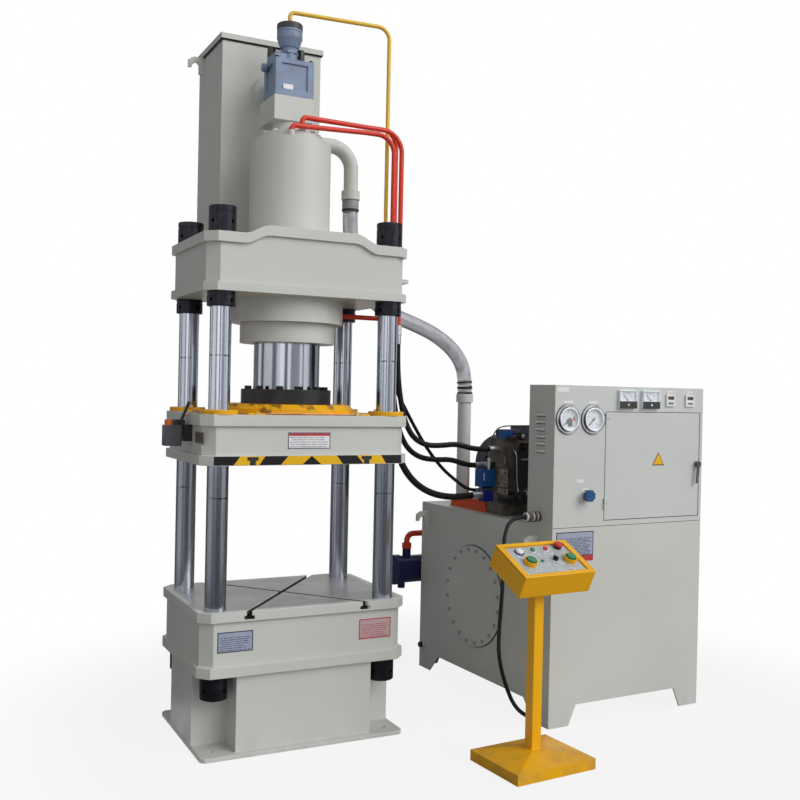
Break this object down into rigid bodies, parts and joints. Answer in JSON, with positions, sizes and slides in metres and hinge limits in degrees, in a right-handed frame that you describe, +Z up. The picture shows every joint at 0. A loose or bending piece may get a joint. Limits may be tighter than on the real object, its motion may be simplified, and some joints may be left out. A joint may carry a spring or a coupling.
{
  "type": "hydraulic press",
  "caption": "Upright column press with a ram-driven slide over a slotted table, a filling tank behind the cylinder, a separate oil tank with pump and switch cabinet, and a button pedestal.",
  "frame": {"origin": "middle of the press's foot plate, on the floor", "axes": "+Z up along the ram's axis, +X to the right along the press's front, +Y to its back; the power unit stands at +X and the pedestal in front of it"},
  "size_m": [2.8265, 1.985, 3.456],
  "materials": {
    "machine_cream": "semi-gloss paint",
    "cabinet_grey": "satin sprayed paint",
    "ground_steel": "ground and polished",
    "black_nut": "blackened",
    "black_flange": "gloss black",
    "safety_yellow": "gloss paint",
    "bronze": "turned",
    "valve_grey": "satin casting paint",
    "pipe_red": "gloss paint",
    "pipe_yellow": "gloss paint",
    "hose_rubber": "matt",
    "clear_hose": "clear with a steel spiral",
    "motor_grey": "satin paint",
    "shaft_steel": "turned",
    "base_orange": "gloss paint",
    "manifold_steel": "milled and oiled",
    "valve_blue": "gloss paint",
    "cooler_blue": "gloss paint",
    "instrument_black": "moulded",
    "instrument_chrome": "polished bezel",
    "needle_black": "matt",
    "panel_silver": "printed panel",
    "button_green": "moulded",
    "button_red": "moulded",
    "selector_black": "moulded",
    "switchgear_grey": "moulded",
    "reservoir_clear": "translucent"
  },
  "bodies": {
    "frame": {"base_frame": "machine_cream", "bolster_table": "machine_cream", "guide_columns": "ground_steel", "column_nuts": "black_nut", "crown_beam": "machine_cream", "cylinder_barrel": "machine_cream", "cylinder_head": "machine_cream", "gland_ring": "machine_cream", "valve_adapter": "machine_cream", "filling_valve": "valve_grey", "valve_bowl": "valve_grey", "filling_tank": "machine_cream", "filling_tank_lid": "machine_cream", "red_pipes": "pipe_red", "yellow_pipe": "pipe_yellow", "oil_tank": "cabinet_grey", "manhole_lid": "cabinet_grey", "manhole_bolts": "shaft_steel", "cabinet_shell": "cabinet_grey", "switchgear": "switchgear_grey", "pressure_gauges": "instrument_chrome", "panel_instruments": "instrument_black", "motor_body": "motor_grey", "hydraulic_pump": "manifold_steel", "unit_base": "base_orange", "valve_manifold": "manifold_steel", "control_valves": "valve_blue", "stand_pipe": "cabinet_grey", "oil_cooler": "cooler_blue", "pedestal_stand": "safety_yellow", "console_box": "safety_yellow", "console_plate": "panel_silver", "pressure_hose_a": "hose_rubber", "pressure_hose_b": "hose_rubber", "pilot_hose": "hose_rubber", "main_hose": "hose_rubber", "clear_return_hose": "clear_hose", "control_cable": "hose_rubber"},
    "slide": {"slide_beam": "machine_cream", "main_ram": "ground_steel", "ram_flange": "black_flange", "ram_flange_screws": "black_nut", "slide_covers": "safety_yellow", "guide_bushes": "bronze", "grease_pump": "reservoir_clear"},
    "grease_lever": {"grease_lever": "selector_black"},
    "cabinet_door": {"cabinet_door": "cabinet_grey"},
    "door_handle": {"door_handle": "instrument_chrome"},
    "relief_knob": {"relief_knob": "valve_blue"},
    "gauge_needle_left": {"gauge_needle_left": "needle_black"},
    "gauge_needle_right": {"gauge_needle_right": "needle_black"},
    "meter_needle_left": {"meter_needle_left": "needle_black"},
    "meter_needle_right": {"meter_needle_right": "needle_black"},
    "motor_rotor": {"motor_rotor": "shaft_steel"},
    "start_button": {"start_button": "button_green"},
    "stop_button": {"stop_button": "button_red"},
    "emergency_button": {"emergency_button": "button_red"},
    "palm_button_left": {"palm_button_left": "button_green"},
    "palm_button_right": {"palm_button_right": "button_green"},
    "mode_selector": {"mode_selector": "selector_black"}
  },
  "joints": [
    {"name": "slide_travel", "type": "slide", "parent": "frame", "child": "slide", "axis": [0, 0, 1], "range_m": [-0.5, 0.2]},
    {"name": "grease_lever_pull", "type": "hinge", "parent": "slide", "child": "grease_lever", "pos_m": [-0.545, -0.135, 1.464], "axis": [0, 1, 0], "range_deg": [-60, 0]},
    {"name": "door_swing", "type": "hinge", "parent": "frame", "child": "cabinet_door", "pos_m": [1.47502, -0.58, 1.27], "axis": [0, 0, -1], "range_deg": [0, 110]},
    {"name": "handle_turn", "type": "hinge", "parent": "cabinet_door", "child": "door_handle", "pos_m": [2.09447, -0.55337, 1.27], "axis": [-0.0349, 0.9994, 0], "range_deg": [0, 90]},
    {"name": "relief_turn", "type": "hinge", "parent": "frame", "child": "relief_knob", "pos_m": [1.35592, -0.57916, 1.128], "axis": [-0.0349, 0.9994, 0], "range_deg": [-540, 540]},
    {"name": "gauge_left_reading", "type": "hinge", "parent": "frame", "child": "gauge_needle_left", "pos_m": [1.23913, -0.58724, 1.501], "axis": [-0.0349, 0.9994, 0], "range_deg": [0, 270]},
    {"name": "gauge_right_reading", "type": "hinge", "parent": "frame", "child": "gauge_needle_right", "pos_m": [1.39303, -0.58186, 1.501], "axis": [-0.0349, 0.9994, 0], "range_deg": [0, 270]},
    {"name": "meter_left_reading", "type": "hinge", "parent": "frame", "child": "meter_needle_left", "pos_m": [1.60702, -0.57739, 1.6], "axis": [-0.0349, 0.9994, 0], "range_deg": [0, 90]},
    {"name": "meter_right_reading", "type": "hinge", "parent": "frame", "child": "meter_needle_right", "pos_m": [1.76113, -0.57201, 1.6], "axis": [-0.0349, 0.9994, 0], "range_deg": [0, 90]},
    {"name": "rotor_spin", "type": "hinge", "parent": "frame", "child": "motor_rotor", "pos_m": [1.57506, 0.28001, 1.207], "axis": [-0.0349, 0.9994, 0], "continuous": true},
    {"name": "start_press", "type": "slide", "parent": "frame", "child": "start_button", "axis": [-0.0313, 0.4482, -0.8934], "range_m": [0, 0.004], "stiffness_N_per_m": 900, "springref_m": -0.002},
    {"name": "stop_press", "type": "slide", "parent": "frame", "child": "stop_button", "axis": [-0.0313, 0.4482, -0.8934], "range_m": [0, 0.004], "stiffness_N_per_m": 900, "springref_m": -0.002},
    {"name": "emergency_press", "type": "slide", "parent": "frame", "child": "emergency_button", "axis": [-0.0313, 0.4482, -0.8934], "range_m": [0, 0.005], "stiffness_N_per_m": 900, "springref_m": -0.002},
    {"name": "palm_left_press", "type": "slide", "parent": "frame", "child": "palm_button_left", "axis": [-0.0313, 0.4482, -0.8934], "range_m": [0, 0.006], "stiffness_N_per_m": 900, "springref_m": -0.002},
    {"name": "palm_right_press", "type": "slide", "parent": "frame", "child": "palm_button_right", "axis": [-0.0313, 0.4482, -0.8934], "range_m": [0, 0.006], "stiffness_N_per_m": 900, "springref_m": -0.002},
    {"name": "selector_turn", "type": "hinge", "parent": "frame", "child": "mode_selector", "pos_m": [0.90905, -0.95866, 0.89596], "axis": [0.0313, -0.4482, 0.8934], "range_deg": [-45, 45]}
  ]
}
